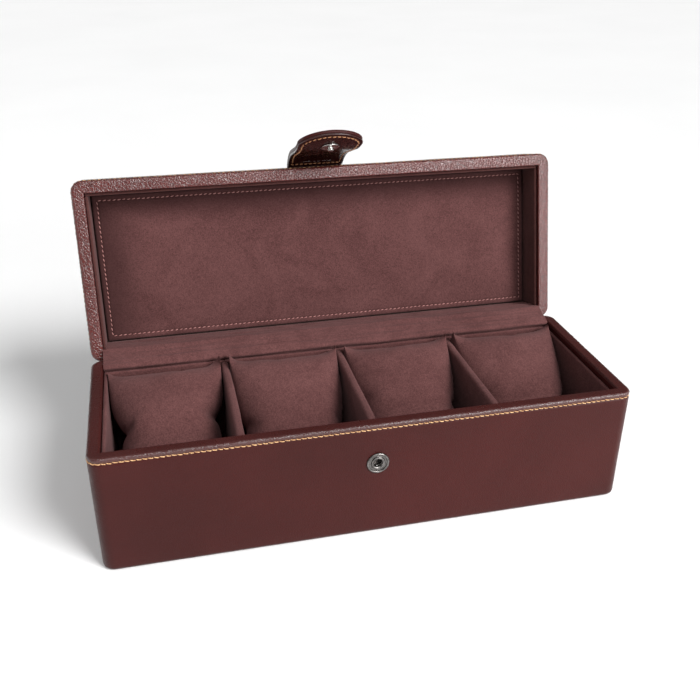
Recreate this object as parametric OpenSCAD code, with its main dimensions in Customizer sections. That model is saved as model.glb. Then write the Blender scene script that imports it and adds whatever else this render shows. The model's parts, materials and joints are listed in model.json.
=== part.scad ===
// Watch box with a swinging lid, four suede cushions and a strap that snaps shut.
// Millimetres, +Z up, the front faces -Y. The origin is the centre of the underside.
// Everything on the lid is laid out as if closed and then swung open about the rear hinge.

/* [Box] */
// Width over the leather
box_w = 310; // [300:1:330]
// Depth over the leather
box_d = 112; // [108:1:116]
// Height of the base
base_h = 74; // [72:1:78]
// Height of the lid
lid_h = 28; // [28:1:32]
// Angle of the open lid, where its hinge flap is taut
open_angle = 104; // [92:0.5:112]

/* [Walls] */
// Thickness of the leather
leather_t = 1.2; // [1:0.1:1.4]
// Thickness of the boards in the walls
board_t = 4.6; // [4.4:0.1:5]
// Thickness of the suede-covered lining cards
lining_t = 2.2; // [1.8:0.1:2.4]
// Rounding of the leather along the outer edges
edge_r = 3; // [2:0.5:4]

/* [Inside] */
// Number of watch compartments
compartments = 4; // [4]
// Thickness of a divider over its suede
divider_t = 5; // [4:0.5:6]
// How far the lining and the dividers stay below the rim
lining_drop = 4.5; // [4:0.5:6]
// Depth of the recess in the lid
recess_h = 20.4; // [19:0.1:20.8]

/* [Cushions] */
// Length of a cushion
cushion_l = 104; // [98:1:104]
// Thickness of a cushion at its middle
cushion_t = 44; // [38:1:44]
// Slope of a cushion, rear edge up
cushion_tilt = 35; // [30:1:36]
// Space beside a cushion, on each side
cushion_gap = 2.5; // [2:0.5:4]

/* [Strap] */
// Width of the strap at the lid
strap_w = 37; // [30:1:40]
// Width of the strap's rounded head
head_w = 40; // [36:1:42]
// Length of the strap's tab on top of the lid
tab_l = 38; // [34:1:44]
// Angle at which the loose strap leaves the lid's front wall
fold_angle = 37; // [32:1:38]
// Angle of the strap's upturned end
tip_angle = 34; // [28:1:35]

/* [Snap] */
// Diameter of the snap fastener
snap_d = 13; // [11:0.5:13]
// Radius of the hole in the snap's socket
snap_bore_r = 2.5; // [2.4:0.05:2.6]

/* [Hidden] */

$fn = 64;
past = 1; // how far a cutter runs past the face it cuts

// Walls: leather, board and turned-in leather. The outside corners are as round as the
// wall is thick, so the inside corners come out square.
wall_t = leather_t + board_t + leather_t;
corner_r = wall_t;
lip_r = 1;
lip_h = 12;
suede_t = 0.8;
play = 0.1;
rim_gap = 0.3;
rear_drop = 1.5;
turn_under = 10;

// Inside faces of the lining.
lining_in = wall_t + 2 * play;
rear_lining_in = wall_t + suede_t + 2 * play;
inner_x = box_w / 2 - lining_in - lining_t;
inner_front = -(box_d / 2 - lining_in - lining_t);
inner_rear = box_d / 2 - rear_lining_in - lining_t;
lid_inner_rear = box_d / 2 - rear_lining_in; // the flap lines the lid's rear wall
floor_board_t = 4;
floor_top = leather_t + floor_board_t + 2;
lining_top = base_h - lining_drop;
bay_w = (2 * inner_x - (compartments - 1) * divider_t) / compartments;

// Lid, measured upwards from its own rim.
lid_top_r = 4;
lid_board_z = lid_h - leather_t - 3;
lid_lining_z = 2.5;
panel_gap = 0.8;
panel_card_t = 1;

// The hinge line runs along the back of the rear wall, a little below its rim.
spine_t = 1;
spine_w = 292;
spine_reach = 12;
knuckle_r = 1.2;
hinge_y = box_d / 2;
hinge_z = base_h - rear_drop - 0.9;

// Strap, measured from the point where it leaves the lid: along it, out of the front
// wall, and round. It bends down, runs nearly straight, and turns up again at its end.
strap_z = lid_h - 0.7;
strap_lining_t = 1.6;
strap_outer_t = 2;
sag_angle = 5;
strap_r1 = 40;
strap_flat = 18;
strap_r2 = 56;
strap_l1 = strap_r1 * (fold_angle - sag_angle) * PI / 180;
strap_l2 = strap_l1 + strap_flat;
strap_l = strap_l2 + strap_r2 * (tip_angle - sag_angle) * PI / 180;
head_l = 12;
stud_l = 53.5;
snap_z = 48.9; // height at which the closed strap brings the stud to the front

function turn(p, a) = [p[0] * cos(a) - p[1] * sin(a), p[0] * sin(a) + p[1] * cos(a)];
// A point of the closed lid, as [y, height over the rim], after the lid has swung open.
function opened(p) =
    [hinge_y, hinge_z] + turn([p[0] - hinge_y, p[1] + base_h + rim_gap - hinge_z], -open_angle);

// Slope of the strap and its inner face at a length along it, as [forward, outward].
function strap_slope(l) =
    l < strap_l1 ? fold_angle - l / strap_r1 * 180 / PI
    : l < strap_l2 ? sag_angle
    : sag_angle + (l - strap_l2) / strap_r2 * 180 / PI;
function strap_bend_1(a) = strap_r1 * [sin(fold_angle) - sin(a), cos(a) - cos(fold_angle)];
function strap_bend_2(a) = strap_r2 * [sin(a) - sin(sag_angle), cos(sag_angle) - cos(a)];
function strap_run(l) = l * [cos(sag_angle), sin(sag_angle)];
function strap_point(l) =
    l < strap_l1 ? strap_bend_1(strap_slope(l))
    : strap_bend_1(sag_angle)
        + (l < strap_l2 ? strap_run(l - strap_l1)
           : strap_run(strap_flat) + strap_bend_2(strap_slope(l)));
// The same in the closed lid's [y, height over the rim], at a height off the inner face.
function strap_place(l, off) =
    let (p = strap_point(l) + off * [-sin(strap_slope(l)), cos(strap_slope(l))])
    [-box_d / 2 - p[1], strap_z - p[0]];

// ---- shared shapes ----

module lid_swing() {
    translate([0, hinge_y, hinge_z]) rotate([-open_angle, 0, 0])
        translate([0, -hinge_y, base_h + rim_gap - hinge_z]) children();
}

// A box from one corner to the other.
module block(low, high) {
    translate(low) cube(high - low);
}

// The box's outline, moved in by inset.
module outline(inset) {
    w = box_w - 2 * inset;
    d = box_d - 2 * inset;
    r = corner_r - inset;
    square([w - 2 * r, d], center = true);
    square([w, d - 2 * r], center = true);
    for (x = [-1, 1], y = [-1, 1])
        translate([x * (w / 2 - r), y * (d / 2 - r)]) circle(r);
}

// What rounding takes off the corner at p. The signs in into point to the material.
module rounding(p, r, into) {
    difference() {
        translate([p[0] + (into[0] > 0 ? -past : -r), p[1] + (into[1] > 0 ? -past : -r)])
            square(r + past);
        translate([p[0] + into[0] * r, p[1] + into[1] * r]) circle(r);
    }
}

// Leather in a wall's cross-section: x runs from the inside face outwards, y upwards.
// rim and back are the heights of the open rim and of the closed side.
module leather_section(rim, back, rim_r, back_r) {
    up = rim > back ? 1 : -1;
    low = min(rim, back);
    high = max(rim, back);
    difference() {
        translate([0, low]) square([wall_t, high - low]);
        translate([leather_t, low + leather_t])
            square([board_t, high - low - 2 * leather_t]);
        translate([-past, up > 0 ? low + leather_t : rim + lip_h])
            square([past + leather_t * 1.5, high - low - lip_h - leather_t]);
        rounding([wall_t, rim], rim_r, [-1, -up]);
        rounding([wall_t, back], back_r, [-1, up]);
        rounding([0, rim], lip_r, [1, -up]);
    }
}

// Runs a cross-section along one side: 0 is the right side, 1 the rear, 2 the left, 3 the front.
module along_side(side) {
    run = side % 2 == 0 ? box_d : box_w;
    reach = side % 2 == 0 ? box_w : box_d;
    rotate([0, 0, 90 * side]) translate([reach / 2 - corner_r, 0, 0])
        rotate([90, 0, 0]) linear_extrude(run - 2 * corner_r, center = true) children();
}

// Turns a cross-section round the corner that follows a side.
module round_corner(side) {
    x = side == 0 || side == 3 ? 1 : -1;
    y = side < 2 ? 1 : -1;
    translate([x * (box_w / 2 - corner_r), y * (box_d / 2 - corner_r), 0])
        rotate([0, 0, 90 * side]) rotate_extrude(angle = 90) children();
}

// The leather round all four walls. The rear wall's rim stays lower, to make room for the flap.
module leather_walls(rim, back, rim_r, back_r) {
    rear_rim = rim > back ? rim - rear_drop : rim + rear_drop;
    for (side = [0, 2, 3]) along_side(side) leather_section(rim, back, rim_r, back_r);
    along_side(1) leather_section(rear_rim, back, rim_r, back_r);
    for (side = [0:3]) round_corner(side) leather_section(rim, back, rim_r, back_r);
}

// A board in the walls, from one corner to the other, rounded where it meets the box's corners.
module wall_board(low, high) {
    intersection() {
        translate([0, 0, low[2]]) linear_extrude(high[2] - low[2]) outline(leather_t);
        block(low, high);
    }
}

// A front (-1) or rear (1) wall board, the full width of the box.
module long_board(side, low, high) {
    out = box_d / 2 - leather_t;
    y = side > 0 ? out - board_t : -out;
    wall_board([-box_w / 2, y, low], [box_w / 2, y + board_t, high]);
}

// A left (-1) or right (1) wall board, between the long boards.
module end_board(side, low, high) {
    in = box_w / 2 - leather_t - board_t;
    x = side > 0 ? in : -in - board_t;
    y = box_d / 2 - leather_t - board_t;
    wall_board([x, -y, low], [x + board_t, y, high]);
}

// Lining cards, the same in the base and in the lid but for their heights.
module front_card(low, high) {
    x = box_w / 2 - lining_in;
    block([-x, inner_front - lining_t, low], [x, inner_front, high]);
}
module rear_card(low, high) {
    x = box_w / 2 - lining_in;
    block([-x, inner_rear, low], [x, inner_rear + lining_t, high]);
}
module side_card(side, low, high, rear = inner_rear) {
    x = side > 0 ? inner_x : -inner_x - lining_t;
    block([x, inner_front, low], [x + lining_t, rear, high]);
}

// ---- base ----

module base_front_board() color("tan") difference() {
    long_board(-1, leather_t, base_h - leather_t);
    snap_hole();
}
module base_rear_board() color("tan")
    long_board(1, leather_t, base_h - rear_drop - leather_t);
module base_left_board() color("tan") end_board(-1, leather_t, base_h - leather_t);
module base_right_board() color("tan") end_board(1, leather_t, base_h - leather_t);
module base_floor_board() color("tan") {
    x = box_w / 2 - leather_t - board_t;
    y = box_d / 2 - leather_t - board_t;
    block([-x, -y, leather_t], [x, y, leather_t + floor_board_t]);
}
module base_cover() color([0.33, 0.13, 0.12]) {
    difference() {
        leather_walls(base_h, 0, edge_r, edge_r);
        snap_hole();
    }
    difference() {
        block([-box_w / 2 + wall_t, -box_d / 2 + wall_t, 0],
              [box_w / 2 - wall_t, box_d / 2 - wall_t, leather_t]);
        block([-box_w / 2 + turn_under, -box_d / 2 + turn_under, -past],
              [box_w / 2 - turn_under, box_d / 2 - turn_under, leather_t + past]);
    }
}
module bottom_panel() color([0.2, 0.11, 0.11]) {
    x = box_w / 2 - turn_under;
    y = box_d / 2 - turn_under;
    block([-x, -y, 0], [x, y, leather_t]);
}
module lining_front() color([0.42, 0.27, 0.27]) front_card(floor_top, lining_top);
module lining_rear() color([0.42, 0.27, 0.27]) rear_card(floor_top, lining_top);
module lining_left() color([0.42, 0.27, 0.27]) side_card(-1, floor_top, lining_top);
module lining_right() color([0.42, 0.27, 0.27]) side_card(1, floor_top, lining_top);
module lining_floor() color([0.42, 0.27, 0.27]) {
    x = box_w / 2 - lining_in;
    block([-x, inner_front - lining_t, leather_t + floor_board_t],
          [x, inner_rear + lining_t, floor_top]);
}

// Dividers: a card with suede folded over its top edge.
module at_divider(i) {
    translate([(i - compartments / 2) * (bay_w + divider_t), 0, 0]) children();
}
module divider_core(i) color("tan") at_divider(i) {
    x = divider_t / 2 - suede_t;
    block([-x, inner_front, floor_top], [x, inner_rear, lining_top - suede_t]);
}
module divider_suede(i) color([0.44, 0.28, 0.28]) at_divider(i) difference() {
    x = divider_t / 2;
    block([-x, inner_front, floor_top], [x, inner_rear, lining_top]);
    block([-x + suede_t, inner_front - past, floor_top - past],
          [x - suede_t, inner_rear + past, lining_top - suede_t]);
}

// ---- snap fastener ----

snap_barrel_r = 3.7;
snap_barrel_l = 4;
post_r = 6;

// The x axis of the profile is the snap's radius, and y is the height off the front.
module on_front() {
    translate([0, -box_d / 2, snap_z]) rotate([90, 0, 0]) children();
}
module snap_hole() {
    on_front() translate([0, 0, -wall_t - past]) cylinder(h = wall_t + 2 * past, r = snap_barrel_r + play);
}
module snap_socket() color([0.45, 0.43, 0.41]) on_front() rotate_extrude() difference() {
    union() {
        square([snap_d / 2, 0.5]);
        translate([snap_d / 2 - 0.9, 0.5]) circle(0.5);
        translate([snap_d / 2 - 0.9, 0]) square([0.9, 0.5]);
        square([3.5, 0.9]);
        translate([0, -snap_barrel_l]) square([snap_barrel_r, snap_barrel_l + 0.1]);
    }
    translate([-past, -snap_barrel_l + 0.6]) square([snap_bore_r + past, snap_barrel_l + 2 * past]);
    translate([0, -1.6]) square([3.2, 0.8]);
}
module snap_spring() color([0.75, 0.74, 0.7]) on_front() rotate_extrude()
    translate([snap_bore_r + 0.35, -1.2]) circle(0.3);
module snap_post() color([0.45, 0.43, 0.41]) on_front() {
    translate([0, 0, -leather_t - board_t - 1.2]) cylinder(h = 1.2, r = post_r);
    translate([0, 0, -leather_t - board_t]) cylinder(h = leather_t + board_t - snap_barrel_l, r = 2.4);
}

// ---- hinge: the leather spine outside and the suede flap inside ----

module hinge_spine() color([0.33, 0.13, 0.12]) {
    x = spine_w / 2;
    low = hinge_z - base_h - rim_gap + 0.4;
    block([-x, hinge_y, base_h - spine_reach], [x, hinge_y + spine_t, hinge_z]);
    lid_swing() block([-x, hinge_y, low], [x, hinge_y + spine_t, spine_reach]);
    intersection() {
        translate([-x, hinge_y, hinge_z]) rotate([0, 90, 0]) cylinder(h = spine_w, r = knuckle_r);
        block([-x, hinge_y, hinge_z - knuckle_r], [x, hinge_y + knuckle_r, hinge_z + knuckle_r]);
    }
}
module hinge_flap() color([0.45, 0.29, 0.28]) {
    far = box_d / 2 - wall_t - play;
    near = far - suede_t;
    base_depth = 14;
    lid_depth = 22;
    fold = 1.2;
    low = base_h - rear_drop;
    rotate([90, 0, 90]) linear_extrude(box_w - 2 * wall_t - 1, center = true)
        polygon([
            [near, base_h - base_depth], [near, low + fold / 2],
            opened([near, fold]), opened([near, lid_depth]),
            opened([far, lid_depth]), opened([far, fold]),
            [far, low + fold / 4], [far, base_h - base_depth],
        ]);
}

// ---- lid ----

module lid_front_board() color("tan") lid_swing() long_board(-1, leather_t, lid_h - leather_t);
module lid_rear_board() color("tan") lid_swing()
    long_board(1, rear_drop + leather_t, lid_h - leather_t);
module lid_left_board() color("tan") lid_swing() end_board(-1, leather_t, lid_h - leather_t);
module lid_right_board() color("tan") lid_swing() end_board(1, leather_t, lid_h - leather_t);
module lid_top_board() color("tan") lid_swing() {
    x = box_w / 2 - leather_t - board_t;
    y = box_d / 2 - leather_t - board_t;
    block([-x, -y, lid_board_z], [x, y, lid_h - leather_t]);
}
module lid_cover() color([0.33, 0.13, 0.12]) lid_swing() {
    leather_walls(0, lid_h, edge_r, lid_top_r);
    block([-box_w / 2 + wall_t, -box_d / 2 + wall_t, lid_h - leather_t],
          [box_w / 2 - wall_t, box_d / 2 - wall_t, lid_h]);
}
module lid_lining_front() color([0.42, 0.27, 0.27]) lid_swing() front_card(lid_lining_z, lid_board_z);
module lid_lining_left() color([0.42, 0.27, 0.27]) lid_swing()
    side_card(-1, lid_lining_z, lid_board_z, lid_inner_rear);
module lid_lining_right() color([0.42, 0.27, 0.27]) lid_swing()
    side_card(1, lid_lining_z, lid_board_z, lid_inner_rear);

// A layer of the padded panel in the lid's recess, moved in from the lining by inset.
module panel_layer(inset, low, high) {
    block([-inner_x + inset, inner_front + inset, low], [inner_x - inset, lid_inner_rear - inset, high]);
}
module lid_panel_card() color("tan") lid_swing()
    panel_layer(panel_gap + suede_t, lid_board_z - panel_card_t, lid_board_z);
module lid_panel_foam() color("khaki") lid_swing()
    panel_layer(panel_gap + suede_t, recess_h + suede_t, lid_board_z - panel_card_t);
module lid_panel_suede() color([0.42, 0.27, 0.27]) lid_swing() difference() {
    panel_layer(panel_gap, recess_h, lid_board_z);
    panel_layer(panel_gap + suede_t, recess_h + suede_t, lid_board_z + past);
}

// ---- strap ----

// The strap's plan, seen from the front of the closed box, as x and height over the lid's rim.
module strap_plan() {
    tip = strap_place(strap_l, 0)[1];
    neck = strap_place(0, strap_lining_t + strap_outer_t)[1] + past;
    polygon([
        for (a = [180:7.5:360]) [head_w / 2 * cos(a), tip + head_l + head_l * sin(a)],
        [strap_w / 2, neck], [-strap_w / 2, neck],
    ]);
}
// The strap's side view between two heights off its inner face.
module strap_side(low, high) {
    stations = concat(
        [for (i = [0:8]) strap_l1 * i / 8],
        [for (i = [0:10]) strap_l2 + (strap_l - strap_l2) * i / 10]);
    polygon(concat(
        [for (l = stations) strap_place(l, low)],
        [for (i = [len(stations) - 1:-1:0]) strap_place(stations[i], high)]));
}
module strap_layer(low, high) {
    intersection() {
        rotate([90, 0, 90]) linear_extrude(head_w + 2 * past, center = true) strap_side(low, high);
        rotate([90, 0, 0]) linear_extrude(box_d) strap_plan();
    }
}
// Puts a turned part on the strap at the stud, facing out of the inner (-1) or outer (1) side.
module at_stud(side, off) {
    p = strap_place(stud_l, off);
    lid_swing() translate([0, p[0], p[1]])
        rotate([90 * side - strap_slope(stud_l), 0, 0]) children();
}
module stud_hole() {
    at_stud(-1, strap_lining_t + strap_outer_t + past)
        cylinder(h = strap_lining_t + strap_outer_t + 2 * past, r = 1.6);
}
module strap_tab() color([0.33, 0.13, 0.12]) lid_swing()
    translate([0, -box_d / 2 + lid_top_r / 2, lid_h]) linear_extrude(strap_outer_t) {
        translate([-strap_w / 2, 0]) square([strap_w, tab_l - strap_w / 2]);
        translate([0, tab_l - strap_w / 2]) circle(strap_w / 2);
    }
module strap_neck() color([0.33, 0.13, 0.12]) lid_swing() {
    y = -box_d / 2 + lid_top_r / 2;
    over = lid_h + strap_outer_t;
    rotate([90, 0, 90]) linear_extrude(strap_w, center = true)
        polygon([
            [y, lid_h], [y, over], [y - 3, over - 0.1],
            strap_place(0, strap_lining_t + strap_outer_t), strap_place(0, strap_lining_t),
        ]);
}
module strap_outer() color([0.33, 0.13, 0.12]) difference() {
    lid_swing() strap_layer(strap_lining_t, strap_lining_t + strap_outer_t);
    stud_hole();
}
module strap_lining() color([0.2, 0.11, 0.1]) difference() {
    lid_swing() strap_layer(0, strap_lining_t);
    stud_hole();
}
// The strap is hollow under the cap, which rests on its rim and stands this far off at the middle.
cap_lift = 0.45;
module snap_cap() color([0.45, 0.43, 0.41]) at_stud(1, strap_lining_t + strap_outer_t) {
    translate([0, 0, cap_lift]) cylinder(h = 0.6, r = snap_d / 2);
    translate([0, 0, cap_lift + 0.6]) cylinder(h = 0.5, r = snap_d / 2 - 0.8);
    shank_l = strap_outer_t + strap_lining_t / 2;
    translate([0, 0, -shank_l]) cylinder(h = shank_l + cap_lift, r = 1.5);
}
module snap_stud() color([0.45, 0.43, 0.41]) at_stud(-1, 0) {
    cylinder(h = 0.7, r = 5);
    cylinder(h = 3, r = 1.4);
    translate([0, 0, 2.2]) cylinder(h = 1.6, r = 1.7);
    translate([0, 0, -strap_lining_t / 2]) cylinder(h = strap_lining_t / 2, r = 1.5);
}

// ---- cushions: two bulging faces that meet in a seam all round ----

// A cushion's side view, shrunk by inset.
module cushion_side(inset) {
    half_l = cushion_l / 2 - 2 * inset;
    half_t = cushion_t / 2 - inset;
    r = (half_l * half_l + half_t * half_t) / (2 * half_t);
    intersection() {
        translate([0, r - half_t]) circle(r, $fn = 128);
        translate([0, half_t - r]) circle(r, $fn = 128);
    }
}
module cushion_block(i, inset) {
    lift = 0.2;
    half_l = cushion_l / 2;
    half_t = cushion_t / 2;
    r = (half_l * half_l + half_t * half_t) / (2 * half_t);
    hang = r - (r - half_t) * cos(cushion_tilt);
    translate([(i - (compartments + 1) / 2) * (bay_w + divider_t), 1, floor_top + hang + lift])
        rotate([cushion_tilt, 0, 0]) rotate([90, 0, 90])
        linear_extrude(bay_w - 2 * cushion_gap - 2 * inset, center = true) cushion_side(inset);
}
module cushion_suede(i) color([0.45, 0.29, 0.29]) difference() {
    cushion_block(i, 0);
    cushion_block(i, suede_t);
}
module cushion_filling(i) color("ivory") cushion_block(i, suede_t + play);

base_front_board();
base_rear_board();
base_left_board();
base_right_board();
base_floor_board();
base_cover();
bottom_panel();
lining_front();
lining_rear();
lining_left();
lining_right();
lining_floor();
divider_core(1);  // divider_core_1
divider_core(2);  // divider_core_2
divider_core(3);  // divider_core_3
divider_suede(1);  // divider_suede_1
divider_suede(2);  // divider_suede_2
divider_suede(3);  // divider_suede_3
snap_socket();
snap_spring();
snap_post();
hinge_spine();
hinge_flap();
lid_front_board();
lid_rear_board();
lid_left_board();
lid_right_board();
lid_top_board();
lid_cover();
lid_lining_front();
lid_lining_left();
lid_lining_right();
lid_panel_card();
lid_panel_foam();
lid_panel_suede();
strap_tab();
strap_neck();
strap_outer();
strap_lining();
snap_cap();
snap_stud();
cushion_suede(1);  // cushion_suede_1
cushion_suede(2);  // cushion_suede_2
cushion_suede(3);  // cushion_suede_3
cushion_suede(4);  // cushion_suede_4
cushion_filling(1);  // cushion_filling_1
cushion_filling(2);  // cushion_filling_2
cushion_filling(3);  // cushion_filling_3
cushion_filling(4);  // cushion_filling_4
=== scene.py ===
"""Leather watch box: open lid, suede lining, four cushions and a strap that snaps shut."""
import json
import math

import bmesh
import bpy
import numpy as np
from mathutils import Matrix, Vector, noise


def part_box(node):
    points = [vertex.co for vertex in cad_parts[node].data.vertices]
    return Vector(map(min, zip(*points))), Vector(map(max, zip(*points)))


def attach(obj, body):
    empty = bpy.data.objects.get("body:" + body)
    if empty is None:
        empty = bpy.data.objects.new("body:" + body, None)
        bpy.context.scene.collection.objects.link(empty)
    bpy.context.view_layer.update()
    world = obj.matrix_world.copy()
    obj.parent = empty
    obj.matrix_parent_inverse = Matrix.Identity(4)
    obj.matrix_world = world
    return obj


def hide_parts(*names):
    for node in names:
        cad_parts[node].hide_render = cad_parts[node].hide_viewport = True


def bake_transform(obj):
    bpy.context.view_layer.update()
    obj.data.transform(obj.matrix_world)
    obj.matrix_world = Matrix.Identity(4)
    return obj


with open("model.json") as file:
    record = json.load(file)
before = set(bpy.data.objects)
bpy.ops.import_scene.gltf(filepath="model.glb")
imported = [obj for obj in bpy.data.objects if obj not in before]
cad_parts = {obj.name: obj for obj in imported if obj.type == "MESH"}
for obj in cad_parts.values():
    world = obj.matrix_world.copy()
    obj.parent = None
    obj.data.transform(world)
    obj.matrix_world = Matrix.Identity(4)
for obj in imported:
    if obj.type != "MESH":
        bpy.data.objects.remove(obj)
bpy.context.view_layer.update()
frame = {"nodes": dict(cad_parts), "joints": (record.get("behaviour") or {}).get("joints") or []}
nodes = frame["nodes"]
joints = {j["name"]: j for j in frame["joints"]}
MM = 0.001

# ---- sizes, in millimetres, from the frame ----

base_low, base_high = (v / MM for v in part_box("base_cover"))
HALF_W, HALF_D, BASE_H = base_high.x, base_high.y, base_high.z
HINGE = Vector(joints["lid_hinge"]["pos_m"]) / MM
OPEN = -math.radians(joints["lid_hinge"]["range_deg"][0])
CORNER_R = 7.0
LEATHER = 1.2
LID_H = 28.0
RIM_GAP = 0.3
REAR_DROP = 1.5
PITCH = 3.0  # stitch length
SNAP_Z = sum(v.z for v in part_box("snap_socket")) / 2 / MM

# From the closed lid's own frame, whose rim is at z = 0, to where the open lid is.
LID = (
    Matrix.Translation(HINGE * MM)
    @ Matrix.Rotation(-OPEN, 4, "X")
    @ Matrix.Translation((Vector((0, 0, BASE_H + RIM_GAP)) - HINGE) * MM)
)


def opened(y, z):
    """[y, z] in the row frame, in mm, of a point of the lid, from its closed frame."""
    p = LID @ Vector((0, y * MM, z * MM)) / MM
    return np.array([p.y, p.z])


# ---- camera: the photographed view ----

EYE = (-0.1083, -0.4342, 0.3224)
TURNED = (13.65, -27.27, 0.28)  # yaw, pitch and roll, in degrees
LENS, SENSOR = 43.56, 36


def add_camera():
    yaw, pitch, roll = (math.radians(a) for a in TURNED)
    forward = Vector((math.sin(yaw) * math.cos(pitch), math.cos(yaw) * math.cos(pitch), math.sin(pitch)))
    level = Vector((math.cos(yaw), -math.sin(yaw), 0))
    above = level.cross(forward)
    right = math.cos(roll) * level + math.sin(roll) * above
    up = right.cross(forward)
    data = bpy.data.cameras.new("camera")
    data.sensor_width, data.lens = SENSOR, LENS
    data.clip_start, data.clip_end = 0.01, 100
    camera = bpy.data.objects.new("camera", data)
    turn = Matrix((right, up, -forward)).transposed().to_4x4()
    camera.matrix_world = Matrix.Translation(EYE) @ turn
    bpy.context.scene.collection.objects.link(camera)
    bpy.context.scene.camera = camera


add_camera()

# ---- materials ----


class Tree:
    """The node tree of a material or world, with short ways to add to it."""

    def __init__(self, owner):
        owner.use_nodes = True
        self.tree = owner.node_tree

    def add(self, kind, inputs=(), **settings):
        """A new node, with its inputs by name or number. Returns its outputs."""
        n = self.tree.nodes.new(kind)
        for key, value in settings.items():
            setattr(n, key, value)
        for key, value in dict(inputs).items():
            self.put(n.inputs[key], value)
        return n.outputs

    def put(self, socket, value):
        if isinstance(value, bpy.types.NodeSocket):
            self.tree.links.new(value, socket)
        elif value is not None:
            socket.default_value = value


class Shade(Tree):
    """A leather's, cloth's or metal's material."""

    def __init__(self, name, at_rest=False):
        self.material = bpy.data.materials.new(name)
        super().__init__(self.material)
        # A piece that bends keeps its pattern where it was at rest.
        self.place = self.attribute("rest", "Vector") if at_rest else self.add("ShaderNodeTexCoord")["Object"]

    def set(self, **values):
        for key, value in values.items():
            self.put(self.tree.nodes["Principled BSDF"].inputs[key.replace("_", " ")], value)

    def attribute(self, name, out="Fac"):
        return self.add("ShaderNodeAttribute", attribute_name=name)[out]

    def stretched(self, *scale):
        return self.add("ShaderNodeMapping", {"Vector": self.place, "Scale": scale})["Vector"]

    def noise(self, scale, detail=3, rough=0.5, distortion=0, place=None):
        inputs = {"Vector": place or self.place, "Scale": scale, "Detail": detail, "Roughness": rough}
        return self.add("ShaderNodeTexNoise", {**inputs, "Distortion": distortion})["Fac"]

    def cells(self, scale, feature="F1", place=None):
        inputs = {"Vector": place or self.place, "Scale": scale}
        return self.add("ShaderNodeTexVoronoi", inputs, feature=feature)["Distance"]

    def warped(self, scale, amount):
        """The place, moved about by noise so that cells lose their even shapes."""
        away = self.add("ShaderNodeTexNoise", {"Vector": self.place, "Scale": scale})["Color"]
        inputs = {0: away, 1: (amount,) * 3, 2: self.place}
        return self.add("ShaderNodeVectorMath", inputs, operation="MULTIPLY_ADD")[0]

    def ramp(self, value, low, high, to_low=0.0, to_high=1.0):
        inputs = {"Value": value, "From Min": low, "From Max": high, "To Min": to_low, "To Max": to_high}
        return self.add("ShaderNodeMapRange", inputs, clamp=True)["Result"]

    def math(self, operation, a, b):
        return self.add("ShaderNodeMath", {0: a, 1: b}, operation=operation)[0]

    def mix(self, fac, a, b):
        a, b = ((*c, 1) if isinstance(c, tuple) else c for c in (a, b))
        return self.add("ShaderNodeMix", {0: fac, 6: a, 7: b}, data_type="RGBA")[2]  # the colour sockets

    def bump(self, height, distance, strength=1.0, under=None):
        inputs = {"Height": height, "Distance": distance, "Strength": strength, "Normal": under}
        return self.add("ShaderNodeBump", inputs)["Normal"]


EDGE_WEAR_AND_HIGHLIGHT = (0.12, 0.032, 0.026)  # leather on its rounded edges: rubbed-off finish, and a painted highlight


def leather(name, dark, light, grain=0.00012, rough=(0.3, 0.42), at_rest=False, shine=0.2, ior=1.5, waves=0.3,
            size=1.0):
    """Pebbled leather. size is how much larger than usual its pebbles are, and waves how uneven it lies."""
    s = Shade(name, at_rest)
    tone = s.ramp(s.noise(11, 4, 0.55), 0.35, 0.68)
    colour = s.mix(tone, dark, light)
    coarse = s.attribute("coarse")
    pebble = s.cells(980 / size)
    crease = s.cells(760 / size, "DISTANCE_TO_EDGE", s.warped(420, 0.0007))
    # Painted shade: the grain's creases are darkened, most where the pebbling is coarse, on the rims.
    painted_crease_shade = s.math("MULTIPLY", s.ramp(crease, 0.0, 0.12, 1.0, 0.0), s.ramp(coarse, 0, 1, 0.15, 0.75))
    colour = s.mix(painted_crease_shade, colour, tuple(c * 0.35 for c in dark))
    # Lighter on rounded edges: rubbed finish, and a painted highlight along them.
    edge_wear_and_highlight = s.ramp(s.add("ShaderNodeNewGeometry")["Pointiness"], 0.54, 0.66, 0.0, 0.3)
    colour = s.mix(s.math("MULTIPLY", edge_wear_and_highlight, s.noise(160, 3)), colour, EDGE_WEAR_AND_HIGHLIGHT)
    height = s.math("ADD", s.ramp(pebble, 0.0, 0.7, 0.7, 0.0), s.ramp(crease, 0.0, 0.16))
    height = s.math("ADD", height, s.math("MULTIPLY", s.noise(2600, 2), 0.7))
    height = s.math("MULTIPLY", height, s.ramp(coarse, 0, 1, 0.4, 1.6))
    soft = s.bump(s.noise(55, 3), 0.0007, waves)
    s.set(
        Base_Color=colour,
        Roughness=s.ramp(s.noise(240, 4), 0.3, 0.7, *rough),
        Normal=s.bump(height, grain, 0.9, soft),
        Specular_IOR_Level=shine,
        IOR=ior,
    )
    return s.material


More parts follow.
